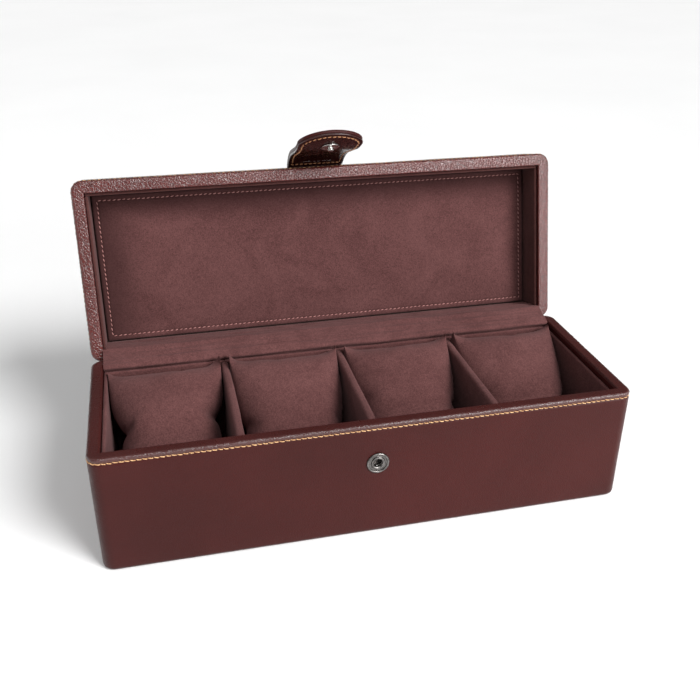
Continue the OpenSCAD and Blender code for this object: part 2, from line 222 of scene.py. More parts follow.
def suede(name, dark, light, at_rest=False, nap=0.0003, sheen=0.1):
    """Suede, with patches brushed either way."""
    s = Shade(name, at_rest)
    shade = tuple(c * 0.45 for c in dark)
    brushed = s.noise(24, 5, 0.6, 1.4)
    patch = s.noise(90, 3, 0.6, 0.8)
    tone = s.math("ADD", s.ramp(brushed, 0.34, 0.66, 0, 0.75), s.ramp(patch, 0.3, 0.7, 0, 0.25))
    colour = s.mix(tone, dark, light)
    fine = s.math("MULTIPLY", s.noise(1500, 2, 0.6, 0.8), 0.6)
    lit = s.math("ADD", fine, s.math("MULTIPLY", s.noise(650, 3, 0.6, 1.2), 0.4))
    colour = s.mix(s.ramp(lit, 0.38, 0.52, 0.5, 0.0), colour, shade)
    colour = s.mix(s.ramp(lit, 0.5, 0.64, 0.0, 0.4), colour, tuple(min(1, c * 1.4) for c in light))
    # Painted shade: darker where the mesh's border attribute says, by the walls round the lid's panel.
    colour = s.mix(s.attribute("border"), colour, shade)
    s.set(
        Base_Color=colour,
        Roughness=s.ramp(patch, 0.3, 0.7, 0.86, 1.0),
        Normal=s.bump(lit, nap, 0.8, s.bump(s.noise(60, 4), 0.0012, 0.35)),
        Specular_IOR_Level=0.05,
        Sheen_Weight=sheen,
        Sheen_Roughness=0.6,
        Sheen_Tint=(0.9, 0.58, 0.58, 1),
    )
    return s.material


def thread(name, dark, light, at_rest=False):
    s = Shade(name, at_rest)
    ply = s.noise(1900, 2, 0.5, place=s.stretched(1, 1, 0.45))
    s.set(
        Base_Color=s.mix(s.ramp(ply, 0.38, 0.62), dark, light),
        Roughness=s.ramp(ply, 0.3, 0.7, 0.45, 0.7),
        Normal=s.bump(ply, 0.00012, 0.7),
        Specular_IOR_Level=0.4,
        Sheen_Weight=0.12,
        Sheen_Roughness=0.4,
    )
    return s.material


def metal(name, dark, light, rough):
    s = Shade(name)
    tarnish = s.noise(420, 4, 0.6)
    s.set(
        Base_Color=s.mix(s.ramp(tarnish, 0.35, 0.7), dark, light),
        Metallic=1.0,
        Roughness=s.ramp(s.noise(1300, 3, 0.6), 0.3, 0.7, *rough),
        Normal=s.bump(s.noise(2200, 2), 0.00003, 0.5),
    )
    return s.material


def plain(name, dark, light, scale, bump, rough=(0.7, 0.95)):
    s = Shade(name)
    grain = s.noise(scale, 4, 0.6, 0.4)
    s.set(
        Base_Color=s.mix(s.ramp(grain, 0.3, 0.72), dark, light),
        Roughness=s.ramp(grain, 0.3, 0.7, *rough),
        Normal=s.bump(grain, bump, 0.7),
        Specular_IOR_Level=0.3,
    )
    return s.material


BURGUNDY = ((0.036, 0.0048, 0.004), (0.0495, 0.0068, 0.0057))
cover_leather = leather("cover_leather", *BURGUNDY)
rim_leather = leather("rim_leather", (0.046, 0.0072, 0.006), (0.064, 0.0108, 0.009), rough=(0.26, 0.34),
                      shine=0.7, waves=0.1)
# A lighter copy of the rim leather: painted highlight on the lid's rim.
lit_lid_rim_leather = leather("lit_lid_rim_leather", (0.078, 0.012, 0.0098), (0.107, 0.0172, 0.0142), 0.00009,
                          (0.2, 0.27), shine=0.8, ior=1.45, waves=0.06, size=1.35)
bending_leather = leather("bending_leather", *BURGUNDY, at_rest=True)
strap_under_leather = leather("strap_under_leather", (0.022, 0.0042, 0.0034), (0.036, 0.0075, 0.006), 0.00008,
                              (0.2, 0.3), shine=0.45)
SUEDE = ((0.081, 0.0318, 0.0308), (0.127, 0.0532, 0.0513))
cushion_suede = suede("cushion_suede", *SUEDE)
# A darker copy of the cushions' suede: painted shade in the lid's recess.
shaded_panel_suede = suede("shaded_panel_suede", (0.069, 0.027, 0.0262), (0.108, 0.0452, 0.0438))
lining_suede = suede("lining_suede", (0.088, 0.034, 0.033), (0.132, 0.055, 0.053))
flap_suede = suede("flap_suede", *SUEDE, at_rest=True)
# A darker copy of the lining suede: painted shade inside the lid.
shaded_lid_lining_suede = suede("shaded_lid_lining_suede", (0.052, 0.019, 0.017), (0.082, 0.031, 0.028), nap=0.0002,
                         sheen=0.12)
tan_thread = thread("tan_thread", (0.36, 0.17, 0.07), (0.74, 0.46, 0.23))
ORANGE = ((0.30, 0.12, 0.05), (0.55, 0.27, 0.13))
orange_thread = thread("orange_thread", *ORANGE)
bending_thread = thread("bending_thread", *ORANGE, at_rest=True)
rose_thread = thread("rose_thread", (0.28, 0.11, 0.10), (0.46, 0.22, 0.2))
gunmetal = metal("gunmetal", (0.1, 0.092, 0.088), (0.26, 0.245, 0.235), (0.22, 0.42))
bright_metal = metal("bright_metal", (0.5, 0.49, 0.47), (0.72, 0.71, 0.69), (0.16, 0.3))
fibreboard = plain("fibreboard", (0.03, 0.02, 0.016), (0.055, 0.036, 0.028), 700, 0.0002)
brownboard = plain("brownboard", (0.07, 0.032, 0.029), (0.1, 0.046, 0.042), 900, 0.0002)
foam_white = plain("foam_white", (0.6, 0.56, 0.42), (0.82, 0.79, 0.68), 1400, 0.0004)
bottom_felt = suede("bottom_felt", (0.014, 0.008, 0.008), (0.03, 0.016, 0.016), sheen=0.15)
floor_paper = plain("floor_paper", (0.92, 0.92, 0.92), (0.94, 0.94, 0.94), 3, 0.0001, (0.9, 1.0))


# ---- mesh building ----


WELD = 0.004  # vertices closer than this, in mm, are one


def coordinates(mesh):
    co = np.zeros(len(mesh.vertices) * 3)
    mesh.vertices.foreach_get("co", co)
    return co


def placed(name, mesh, material, at=None, sharp=None, rest=False):
    """A new object of a mesh, smooth but for edges over that many degrees. rest is for one that bends."""
    mesh.polygons.foreach_set("use_smooth", [True] * len(mesh.polygons))
    if sharp:
        mesh.set_sharp_from_angle(angle=math.radians(sharp))
    mesh.materials.append(material)
    obj = bpy.data.objects.new(name, mesh)
    bpy.context.scene.collection.objects.link(obj)
    if at is not None:
        obj.matrix_world = at
    if rest:
        place = mesh.attributes.new("rest", "FLOAT_VECTOR", "POINT")
        place.data.foreach_set("vector", coordinates(mesh))
    return obj


def solid_mesh(name, verts, faces, weld=WELD):
    """A closed mesh from vertices in mm, with its faces turned outward."""
    mesh = bpy.data.meshes.new(name)
    mesh.from_pydata((np.asarray(verts, float).reshape(-1, 3) * MM).tolist(), [], faces)
    bm = bmesh.new()
    bm.from_mesh(mesh)
    if weld:
        bmesh.ops.remove_doubles(bm, verts=bm.verts, dist=weld * MM)
    bmesh.ops.recalc_face_normals(bm, faces=bm.faces)
    bm.to_mesh(mesh)
    bm.free()
    return mesh


def piece(name, verts, faces, material, at=None, sharp=None, rest=False):
    return placed(name, solid_mesh(name, verts, np.asarray(faces).tolist()), material, at, sharp, rest)


def grid_faces(n, m, loop_n=False, loop_m=False):
    i, j = np.meshgrid(np.arange(n if loop_n else n - 1), np.arange(m if loop_m else m - 1), indexing="ij")
    i2, j2 = (i + 1) % n, (j + 1) % m
    return np.stack([i * m + j, i2 * m + j, i2 * m + j2, i * m + j2], -1).reshape(-1, 4)


def smooth(t):
    t = np.clip(t, 0, 1)
    return t * t * (3 - 2 * t)


def wobble(points, size, seed):
    """Smooth noise between about -1 and 1 at points in mm, with features of that size."""
    p = np.asarray(points, float).reshape(-1, 3) / size + seed * 7.31
    values = [noise.noise(v, noise_basis="PERLIN_ORIGINAL") for v in p]
    return np.array(values).reshape(np.shape(points)[:-1])


def stitches(name, centres, along, out, material, radius=0.36, length=2.7, slant=0.34, rise=0.26,
             at=None, rest=False):
    """Short threads, one at each centre, that rise out of the surface and dip back in."""
    rings, sides, dip = 7, 8, 0.34
    centres, along, out = (np.asarray(a, float) for a in (centres, along, out))
    across = np.cross(out, along)
    u = np.linspace(-1, 1, rings)
    spread = centres.shape[0]
    jitter = np.random.default_rng(spread).normal(0, 1, (spread, 3))
    heights = (rise * (1 + 0.12 * jitter[:, :1]) + dip) * (1 - np.abs(u) ** 2.6) - dip
    sway = (slant + 0.05 * jitter[:, 1:2]) * u + 0.05 * jitter[:, 2:]
    middle = (
        centres[:, None] + along[:, None] * (u * length / 2)[None, :, None]
        + out[:, None] * heights[..., None] + across[:, None] * sway[..., None]
    )
    angle = np.linspace(0, 2 * np.pi, sides, endpoint=False)
    twist = 1 + 0.13 * np.cos(2 * (angle[None] - 3.4 * u[:, None]))
    thick = radius * (1 - 0.3 * np.abs(u) ** 3)[:, None] * twist
    ring = (
        across[:, None, None] * (np.cos(angle) * thick)[None, ..., None]
        + out[:, None, None] * (np.sin(angle) * thick)[None, ..., None]
    )
    verts = (middle[:, :, None] + ring).reshape(-1, 3)
    tube = grid_faces(rings, sides, loop_m=True)
    block = rings * sides
    faces = [f for k in range(spread) for f in (tube + k * block).tolist()]
    for k in range(spread):
        start, end = k * block, k * block + block - sides
        faces.append([start + i for i in range(sides)])
        faces.append([end + i for i in reversed(range(sides))])
    mesh = bpy.data.meshes.new(name)
    mesh.from_pydata((verts * MM).tolist(), [], faces)
    return placed(name, mesh, material, at, rest=rest)


def along_path(points, outs, pitch, closed=True):
    """Centres, directions and outward directions of stitches along a path."""
    points, outs = np.asarray(points, float), np.asarray(outs, float)
    if closed:
        points, outs = np.vstack([points, points[:1]]), np.vstack([outs, outs[:1]])
    gaps = np.linalg.norm(np.diff(points, axis=0), axis=1)
    s = np.concatenate([[0], np.cumsum(gaps)])
    count = max(1, round(s[-1] / pitch))
    at = (np.arange(count) + 0.5) * s[-1] / count
    half = 0.4 * pitch

    def pick(values, where):
        return np.stack([np.interp(where, s, values[:, k]) for k in range(3)], -1)

    ahead, behind = pick(points, np.clip(at + half, 0, s[-1])), pick(points, np.clip(at - half, 0, s[-1]))
    along = ahead - behind
    along /= np.linalg.norm(along, axis=1)[:, None]
    out = pick(outs, at)
    out -= along * np.sum(out * along, axis=1)[:, None]
    out /= np.linalg.norm(out, axis=1)[:, None]
    return pick(points, at), along, out


# ---- the leather over base and lid: one cross-section swept round the box ----


def outline_stations(step):
    """Where the sweep stops: [corner a, corner b, share between them, outward direction, run]."""
    corners = [(-1, -1), (1, -1), (1, 1), (-1, 1)]
    rows, run = [], 0.0
    for k in range(4):
        a, b = corners[k], corners[(k + 1) % 4]
        heading = math.radians(90 * k - 90)
        length = 2 * ((HALF_W if k % 2 == 0 else HALF_D) - CORNER_R)
        count = round(length / step)
        for i in range(count):
            share = i / count
            rows.append((*a, *b, share, math.cos(heading), math.sin(heading), run + length * i / count, k))
        run += length
        for i in range(14):
            angle = heading + math.radians(90 * i / 14)
            rows.append((*b, *b, 0, math.cos(angle), math.sin(angle), run + CORNER_R * (angle - heading), -1))
        run += CORNER_R * math.pi / 2
    return np.array(rows), run


STATIONS, RUN = outline_stations(0.75)


def on_outline(inset, height, stations=STATIONS):
    """Points in mm for each station and each inset; inset and height are (stations, points)."""
    ax, ay, bx, by, t, nx, ny = stations[:, :7].T
    core = np.maximum(inset, CORNER_R)
    radius = np.maximum(CORNER_R - inset, 0)
    x = ((1 - t) * ax + t * bx)[:, None] * (HALF_W - core) + nx[:, None] * radius
    y = ((1 - t) * ay + t * by)[:, None] * (HALF_D - core) + ny[:, None] * radius
    return np.stack([x, y, height], -1)


def rear_share():
    """1 along the rear wall, falling to 0 at its corners, for each station."""
    rear = STATIONS[:, 8] == 2
    run = STATIONS[:, 7]
    start = run[rear].min()
    end = start + 2 * (HALF_W - CORNER_R)
    return np.where(rear, smooth(np.minimum(run - start, end - run) / 7), 0)[:, None]


REAR = rear_share()


def ripple(run, size, seed):
    """Uneven ripples along a seam, repeating every lap."""
    count = int(RUN / size)
    values = np.random.default_rng(seed).normal(0, 1, count)
    return np.interp(run, np.arange(count + 1) * RUN / count, np.append(values, values[0]))


# The rim's cross-section as [inset, depth below the rim]: wall, seam, rolled edge, rim, lip.
SEAM = 3.1
RIM = np.array([
    (0, 22), (0, 16), (0, 11), (0, 8), (0, 6), (0, 4.8), (0.04, 4.1), (0.26, 3.55), (0.4, SEAM), (0.3, 2.7),
    (0.08, 2.25), (0.0, 1.75), (0.06, 1.2), (0.32, 0.68), (0.8, 0.28), (1.45, 0.06), (2.3, 0.0), (3.6, 0.03),
    (5.2, 0.02), (6.2, 0.04), (6.65, 0.12), (6.88, 0.35), (6.98, 0.8), (7, 2.2), (7, 5), (7, 8.5), (7, 12),
])


def bore(obj, place, radius):
    """Cuts a round hole through the front wall at a place in mm."""
    cutter = bpy.data.meshes.new("cutter")
    bm = bmesh.new()
    turn = Matrix.Translation(Vector(place) * MM) @ Matrix.Rotation(math.radians(90), 4, "X")
    r = radius * MM
    bmesh.ops.create_cone(bm, cap_ends=True, segments=48, radius1=r, radius2=r, depth=8 * MM, matrix=turn)
    bm.to_mesh(cutter)
    bm.free()
    tool = bpy.data.objects.new("cutter", cutter)
    bpy.context.scene.collection.objects.link(tool)
    cut = obj.modifiers.new("cut", "BOOLEAN")
    cut.operation, cut.solver, cut.object = "DIFFERENCE", "EXACT", tool
    shape = bpy.data.meshes.new_from_object(obj.evaluated_get(bpy.context.evaluated_depsgraph_get()))
    obj.modifiers.clear()
    obj.data = shape
    bpy.data.objects.remove(tool)
    bpy.data.meshes.remove(cutter)


def cover(name, rim_at, up, closing, node, body, at, seed, edging, widen=0.0, pebbled=1.0, hole=None):
    """The leather over a half of the box. rim_at is the rim's height, and up is 1 if the rim faces up.
    closing is the rest of the cross-section, before and after the rim's part, and whether it closes.
    widen is how much wider the rim is at the front and sides, and hole is a place and a radius."""
    before, after = (np.array(c, float) for c in closing[:2])
    rim = np.stack([RIM[:, 0], rim_at - up * RIM[:, 1]], -1)
    section = np.vstack([before, rim, after])
    n, m = len(STATIONS), len(section)
    depth = np.full(m, 99.0)
    depth[len(before):len(before) + len(rim)] = RIM[:, 1]
    outside = np.zeros(m, bool)
    outside[len(before):len(before) + 17] = True
    run = STATIONS[:, 7][:, None]
    inset = np.repeat(section[None, :, 0], n, 0)
    height = np.repeat(section[None, :, 1], n, 0)
    wider = widen * smooth((RIM[:, 0] - 3) / 3.5)
    inset[:, len(before):len(before) + len(rim)] += wider * (1 - REAR)
    # The rolled edge is pinched at each stitch hole and wrinkled between them.
    phase = np.cos(2 * np.pi * run * round(RUN / PITCH) / RUN)
    edge = np.where(outside, np.exp(-((depth - 1.5) / 1.1) ** 2), 0)[None]
    pinch = np.where(outside, np.exp(-((depth - SEAM) / 0.8) ** 2), 0)[None]
    wrinkle = 0.05 * ripple(run, 0.9, seed) + 0.04 * ripple(run, 2.3, seed + 1)
    inset += edge * (0.035 * phase + wrinkle) + pinch * 0.09 * (1 - phase)
    height += up * np.where(outside, np.exp(-((depth - 0.3) / 0.6) ** 2), 0)[None] * wrinkle * 0.8
    points = on_outline(inset, height)
    loose = ((section[:, 0] < 0.5) & (depth > 4) & (np.arange(m) < len(before) + len(rim)))[None]
    inset += loose * 0.16 * wobble(points, 42, seed)
    lip = ((section[:, 0] > 6.7) & (section[:, 0] < 7.8) & (depth < 20))[None]
    inset += lip * 0.1 * wobble(points, 16, seed + 3)
    lowered = REAR * np.where(depth < 20, smooth((22 - depth) / 9), 0)[None]
    height -= up * REAR_DROP * lowered
    cavity = (np.arange(m) >= len(before) + len(rim))[None] & (np.abs(section[:, 1] - rim_at) < 3)[None]
    height -= up * REAR_DROP * REAR * cavity
    points = on_outline(inset, height)
    obj = piece(name, points, grid_faces(n, m, True, closing[2]), cover_leather, at)
    if hole:
        bore(obj, *hole)
    mesh = obj.data
    below = np.abs(coordinates(mesh)[2::3] / MM - rim_at)
    coarse = mesh.attributes.new("coarse", "FLOAT", "POINT")
    coarse.data.foreach_set("value", pebbled * smooth((2.2 - below) / 1.6))
    mesh.materials.append(edging)
    for face in mesh.polygons:
        face.material_index = int(max(below[v] for v in face.vertices) < SEAM + 0.02)
    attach(obj, body)
    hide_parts(node)
    # A stitch in every pinch.
    seam_at = rim_at - up * SEAM - up * REAR_DROP * REAR
    seam = on_outline(np.full((n, 1), 0.34), seam_at)
    outs = np.stack([STATIONS[:, 5], STATIONS[:, 6], np.zeros(n)], -1)
    centres, along, out = along_path(seam[:, 0], outs, PITCH)
    row = stitches(name + "_stitches", centres, along, out, tan_thread, at=at, slant=-0.34 * up,
                   radius=0.31, length=3.15)
    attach(row, body)
    return obj


foot = [(10, 0), (7, 0), (4.5, 0)]
foot += [(3 - 3 * math.sin(a), 3 - 3 * math.cos(a)) for a in np.radians(range(0, 91, 15))]
foot += [(0, 9), (0, 16), (0, 24), (0, 32), (0, 40), (0, 47)]
hollow = [(5.8, BASE_H - 12), (5.8, BASE_H - LEATHER), (LEATHER, BASE_H - LEATHER), (LEATHER, 30)]
hollow += [(LEATHER, LEATHER), (10, LEATHER)]
cover("base_leather", BASE_H, 1, (foot, hollow, True), "base_cover", "base", None, 3, rim_leather,
      pebbled=0.35, hole=((0, -HALF_D, SNAP_Z), 3.75))

# The lid's top runs in to a line along its middle.
top_insets = [56, 48, 40, 32, 24, 17, 11, 7]
top = [(d, LID_H) for d in top_insets]
top += [(4 - 4 * math.sin(a), LID_H - 4 + 4 * math.cos(a)) for a in np.radians(range(0, 91, 15))]
top = [(d, z) for d, z in top if z > 22.5]
lid_hollow = [(5.8, 12), (5.8, LEATHER), (LEATHER, LEATHER), (LEATHER, 14), (LEATHER, LID_H - LEATHER)]
lid_hollow += [(d, LID_H - LEATHER) for d in reversed(top_insets)]
cover("lid_leather", 0, -1, (top, lid_hollow, False), "lid_cover", "lid", LID, 11, lit_lid_rim_leather, 0.6)


# ---- suede-covered cards: base and lid lining, dividers ----


def rounded_box(low, high, r, step):
    """Vertices and faces of a box with rounded edges, in steps of about that size."""
    low, high = np.array(low, float), np.array(high, float)
    axes = []
    for a, b in zip(low, high):
        turn = r * np.tan(np.radians([45, 33, 20, 8]))
        inner = np.linspace(a + r, b - r, max(2, math.ceil((b - a - 2 * r) / step) + 1))
        axes.append(np.concatenate([a + r - turn, inner, b - r + turn[::-1]]))
    verts, faces, count = [], [], 0
    for k in range(3):
        u, v = (k + 1) % 3, (k + 2) % 3
        for end, outward in ((low[k], -1), (high[k], 1)):
            a, b = np.meshgrid(axes[u], axes[v], indexing="ij")
            p = np.zeros((*a.shape, 3))
            p[..., u], p[..., v], p[..., k] = a, b, end
            verts.append(p.reshape(-1, 3))
            faces.append(grid_faces(len(axes[u]), len(axes[v])) + count)
            count += p.size // 3
    verts = np.vstack(verts)
    core = np.clip(verts, low + r, high - r)
    away = verts - core
    verts = core + r * away / np.linalg.norm(away, axis=1)[:, None]
    return verts, np.vstack(faces)


def card(name, node, body, material, r=0.9, step=4, uneven=0.18, at=None, low=None, high=None,
         bend=None, seed=0):
    """A suede-covered card in place of a node, as large as the node if low and high aren't given."""
    if low is None:
        low, high = (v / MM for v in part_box(node))
    verts, faces = rounded_box(low, high, r, step)
    middle = (np.array(low) + np.array(high)) / 2
    away = verts - middle
    size = (np.array(high) - np.array(low)) / 2
    face = np.abs(away / size) ** 12 * np.sign(away)
    rough = uneven * wobble(verts, 9, seed) + 0.5 * uneven * wobble(verts, 2.5, seed + 2)
    verts = verts + face * rough[:, None]
    if bend is not None:
        verts = bend(verts)
    obj = piece(name, verts, faces, material, at)
    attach(obj, body)
    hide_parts(node)
    return obj


SIDES = ("front", "rear", "left", "right")
for k, side in enumerate(SIDES):
    card("lining_card_" + side, "lining_" + side, "base", lining_suede, seed=20 + k)
card("lining_card_floor", "lining_floor", "base", lining_suede, r=0.8, step=8, seed=25)


def lean(i):
    def bend(v):
        share = (v[:, 2] - 8) / 62
        v = v.copy()
        v[:, 0] += (0.25 * np.sin(v[:, 1] / 30 + i) + 0.15 * wobble(v, 24, 31 + i)) * share
        v[:, 2] += 0.35 * wobble(v * (1, 1, 0), 13, 35 + i) * (share > 0.9)
        return v
    return bend


for i in (1, 2, 3):
    card(f"divider_{i}", f"divider_suede_{i}", "base", cushion_suede, r=2.1, step=2.6, uneven=0.16,
         bend=lean(i), seed=40 + i)

# Where the lid's lining lies in the lid's own frame.
IN_X, FRONT_Y, REAR_Y = 145.6, -46.6, 48.0
CARD_T, CARD_LOW, CARD_HIGH = 1.7, 2.5, 23.8
x_out = IN_X + CARD_T
lid_cards = {
    "front": ((-x_out, FRONT_Y - CARD_T, CARD_LOW), (x_out, FRONT_Y, CARD_HIGH)),
    "left": ((-x_out, FRONT_Y, CARD_LOW), (-IN_X, REAR_Y, CARD_HIGH)),
    "right": ((IN_X, FRONT_Y, CARD_LOW), (x_out, REAR_Y, CARD_HIGH)),
}
for k, (side, (low, high)) in enumerate(lid_cards.items()):
    card("lid_card_" + side, "lid_lining_" + side, "lid", shaded_lid_lining_suede,
         at=LID, low=low, high=high, seed=50 + k, uneven=0.08, r=0.8)


# ---- the lid's padded panel ----


def lid_panel():
    half_x, y0, y1 = IN_X - 0.8, FRONT_Y + 0.8, REAR_Y - 0.8
    seam_in = 3.2  # from the panel's edge to its seam
    edge_steps = [0, 0.25, 0.8, 1.6, 2.4, 2.9, seam_in, 3.5, 4.0, 5, 6.5, 8.5]
    xs = np.concatenate([edge_steps, np.linspace(11, half_x, 46)])
    xs = np.concatenate([xs[:-1], 2 * half_x - xs[::-1]]) - half_x
    ys = np.concatenate([edge_steps, np.linspace(11, (y1 - y0) / 2, 14)])
    ys = np.concatenate([ys[:-1], (y1 - y0) - ys[::-1]]) + y0
    x, y = np.meshgrid(xs, ys, indexing="ij")
    edge = np.minimum(half_x - np.abs(x), np.minimum(y - y0, y1 - y))
    rise = 0.9 * np.sqrt(np.clip(1 - (1 - np.clip(edge / 1.1, 0, 1)) ** 2, 0, 1))
    seam = -0.55 * np.exp(-((edge - seam_in) / 0.5) ** 2)
    crown = 1.7 * smooth((edge - 2.5) / 22)
    flat = np.stack([x, y, 0 * x], -1)
    soft = (0.28 * wobble(flat, 34, 61) + 0.1 * wobble(flat, 11, 62)) * smooth((edge - 3) / 8)
    z = 21.2 - rise - seam - crown - soft
    top = np.stack([x, y, z], -1)
    n, m = x.shape
    border = [(i, 0) for i in range(n)] + [(n - 1, j) for j in range(1, m)]
    border += [(i, m - 1) for i in range(n - 2, -1, -1)] + [(0, j) for j in range(m - 2, 0, -1)]
    ring = np.array([top[i, j] for i, j in border])
    ring[:, 2] = 23.7
    verts = np.vstack([top.reshape(-1, 3), ring, [[0, (y0 + y1) / 2, 23.7]]])
    faces = grid_faces(n, m).tolist()
    count, edge_n = n * m, len(border)
    for k, (i, j) in enumerate(border):
        i2, j2 = border[(k + 1) % edge_n]
        faces.append([i * m + j, i2 * m + j2, count + (k + 1) % edge_n, count + k])
        faces.append([count + k, count + (k + 1) % edge_n, count + edge_n, count + edge_n])
    faces = [f if len(set(f)) == 4 else f[:3] for f in faces]
    mesh = solid_mesh("lid_panel", verts, faces, weld=0)
    obj = placed("lid_panel", mesh, shaded_panel_suede, LID, sharp=60)
    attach(obj, "lid")
    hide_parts("lid_panel_suede")
    # Painted shade by the lid's walls: darkest at the panel's left and top borders, less at its right and
    # bottom.
    nap = mesh.attributes.new("border", "FLOAT", "POINT")
    vx, vy = np.array([v.co[:2] for v in mesh.vertices]).T / MM
    painted_shade = np.maximum.reduce([0.75 * (1 - smooth((vx + half_x) / 38)), 0.7 * (1 - smooth((vy - y0) / 26)),
                               0.35 * (1 - smooth((half_x - vx) / 13)), 0.2 * (1 - smooth((y1 - vy) / 10))])
    nap.data.foreach_set("value", painted_shade)
    right, low, high = half_x - seam_in, y0 + seam_in, y1 - seam_in
    corner = [(-right, low), (right, low), (right, high), (-right, high)]
    rows = []
    for a, b in zip(corner, corner[1:] + corner[:1]):
        a, b = np.array((*a, 20.75)), np.array((*b, 20.75))
        steps = int(np.linalg.norm(b - a) / 2)
        rows += [a + (b - a) * k / steps for k in range(steps)]
    centres, along, out = along_path(rows, np.tile((0, 0, -1.0), (len(rows), 1)), PITCH)
    row = stitches("lid_panel_stitches", centres, along, out, rose_thread, radius=0.27, length=2.3,
                   slant=0.3, rise=0.22, at=LID)
    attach(row, "lid")


lid_panel()


# ---- the hinge: suede flap inside, leather spine outside ----


def band(name, inner, thickness, half_x, step, material, uneven, seed, node, creases=()):
    """A strip bent along a line of [y, z] points, as wide as the box.
    creases are [run, depth] of its folds. Returns the strip and its length in mm."""
    inner = np.asarray(inner, float)
    gaps = np.linalg.norm(np.diff(inner, axis=0), axis=1)
    s = np.concatenate([[0], np.cumsum(gaps)])
    at = np.linspace(0, s[-1], int(s[-1] / step) + 1)
    line = np.stack([np.interp(at, s, inner[:, k]) for k in (0, 1)], -1)
    for _ in range(3):
        line[1:-1] = 0.25 * line[:-2] + 0.5 * line[1:-1] + 0.25 * line[2:]
    along = np.gradient(line, axis=0)
    along /= np.linalg.norm(along, axis=1)[:, None]
    out = np.stack([along[:, 1], -along[:, 0]], -1)
    xs = np.linspace(-half_x, half_x, int(2 * half_x / 2.5) + 1)
    m = len(line)
    p = np.zeros((len(xs), 2 * m, 3))
    front = np.zeros((len(xs), m, 3))
    front[..., 0] = xs[:, None]
    front[..., 1:] = line[None]
    bumps = uneven * wobble(front * (0.1, 1, 1), 3.4, seed)
    bumps = bumps + uneven * 0.5 * wobble(front * (0.3, 1, 1), 8, seed + 1)
    for k, (run, deep) in enumerate(creases):
        wander = run + 0.9 * wobble(front * (1, 0, 0), 45, seed + 5 + k)
        depth = deep * (0.8 + 0.5 * wobble(front * (1, 0, 0), 30, seed + 9 + k))
        bumps += depth * np.exp(-((at[None] - wander) / 0.9) ** 2)
    fade = smooth(np.minimum(at, s[-1] - at) / 4)[None]
    front[..., 1:] += (bumps * fade)[..., None] * out[None]
    back = front.copy()
    back[..., 1:] += thickness * out[None]
    p[:, :m], p[:, m:] = front, back[:, ::-1]
    faces = grid_faces(len(xs), 2 * m, loop_m=True).tolist()
    last = (len(xs) - 1) * 2 * m
    for j in range(m - 1):
        faces.append([j, j + 1, 2 * m - 2 - j, 2 * m - 1 - j])
        faces.append([last + 2 * m - 1 - j, last + 2 * m - 2 - j, last + j + 1, last + j])
    obj = piece(name, p, faces, material, rest=True, sharp=50)
    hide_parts(node)
    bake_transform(obj)
    return obj, s[-1]


flap_line = [(48.1, 60), (48.1, 69.4), (47.4, 70.6), (45.9, 71.1), (45.0, 71.9), (45.1, 73.1), (46.6, 74.2),
             (49.2, 75.1), (51.2, 75.0), (53.2, 76.1), (55.4, 76.4),
             (57.6, 77.4), (59.6, 77.9), opened(48.3, 1.5), opened(48.0, 3.6), opened(48.2, 6.5),
             opened(47.8, 10), opened(48.1, 14), opened(47.9, 17.5), opened(48.1, 22)]
FLAP_HALF = 147.6
flap, flap_l = band("hinge_flap_suede", flap_line, 0.8, FLAP_HALF, 0.8, flap_suede, 0.9, 71,
                    "hinge_flap",
                    ((20.5, -0.8), (25.5, -0.7), (31.5, -0.8)))

spine_line = [(56.05, 61.5), (56.05, 68), (56.05, 70.6), (56.9, 71.5), opened(56.05, -1.2), opened(56.05, 1),
              opened(56.05, 6), opened(56.05, 12.5)]
band("hinge_spine_leather", spine_line, 1.0, 146, 0.7, bending_leather, 0.06, 75, "hinge_spine")


# ---- the strap ----

STRAP_Z = LID_H - 0.7
UNDER_T, OVER_T = 1.6, 2.0
FOLD, SAG, TIP = (math.radians(a) for a in (37, 5, 34))
R1, FLAT, R2 = 40.0, 18.0, 56.0
L1 = R1 * (FOLD - SAG)
L2 = L1 + FLAT
STRAP_L = L2 + R2 * (TIP - SAG)
HALF_STRAP, HALF_HEAD, HEAD_L = 18.5, 20.0, 13.6
TAB_END = 16.0  # y of the tab's rear end, behind the lid's middle line if positive
BEND = 6.2  # length of the bend over the lid's edge
SEWN_IN = 2.6  # from the strap's edge to its seam
UNDER_START = 0.4  # run where the strap's lining begins


def strap_frame(run):
    """[y, z] on the underside of the strap's upper leather, and its outward direction, in the lid's
    frame. run is 0 where the strap leaves the lid, and negative over the lid's edge and on its top."""
    if run >= 0:
        if run < L1:
            a = FOLD - run / R1
            p = R1 * np.array([math.sin(FOLD) - math.sin(a), math.cos(a) - math.cos(FOLD)])
        else:
            p = R1 * np.array([math.sin(FOLD) - math.sin(SAG), math.cos(SAG) - math.cos(FOLD)])
            flat = min(run - L1, FLAT)
            p = p + flat * np.array([math.cos(SAG), math.sin(SAG)])
            a = SAG
            if run > L2:
                a = SAG + (run - L2) / R2
                p = p + R2 * np.array([math.sin(a) - math.sin(SAG), math.cos(SAG) - math.cos(a)])
        out = np.array([-math.cos(a), math.sin(a)])
        return np.array([-HALF_D - p[1], STRAP_Z - p[0]]) + UNDER_T * out, out
    start, _ = strap_frame(0)
    if run > -BEND:
        u = -run / BEND
        down = np.array([-math.sin(FOLD), -math.cos(FOLD)])
        p0, p3 = start, np.array([-HALF_D + 3, LID_H])
        p1, p2 = p0 - 2.3 * down, p3 + np.array([-2.2, 0.15])
        w = np.array([(1 - u) ** 3, 3 * u * (1 - u) ** 2, 3 * u * u * (1 - u), u ** 3])
        d = np.array([-3 * (1 - u) ** 2, 3 * (1 - u) ** 2 - 6 * u * (1 - u), 6 * u * (1 - u) - 3 * u * u,
                      3 * u * u])
        control = np.array([p0, p1, p2, p3])
        along = d @ control
        along /= np.linalg.norm(along)
        return w @ control, np.array([-along[1], along[0]])
    return np.array([-HALF_D + 3 - run - BEND, LID_H]), np.array([0.0, 1.0])


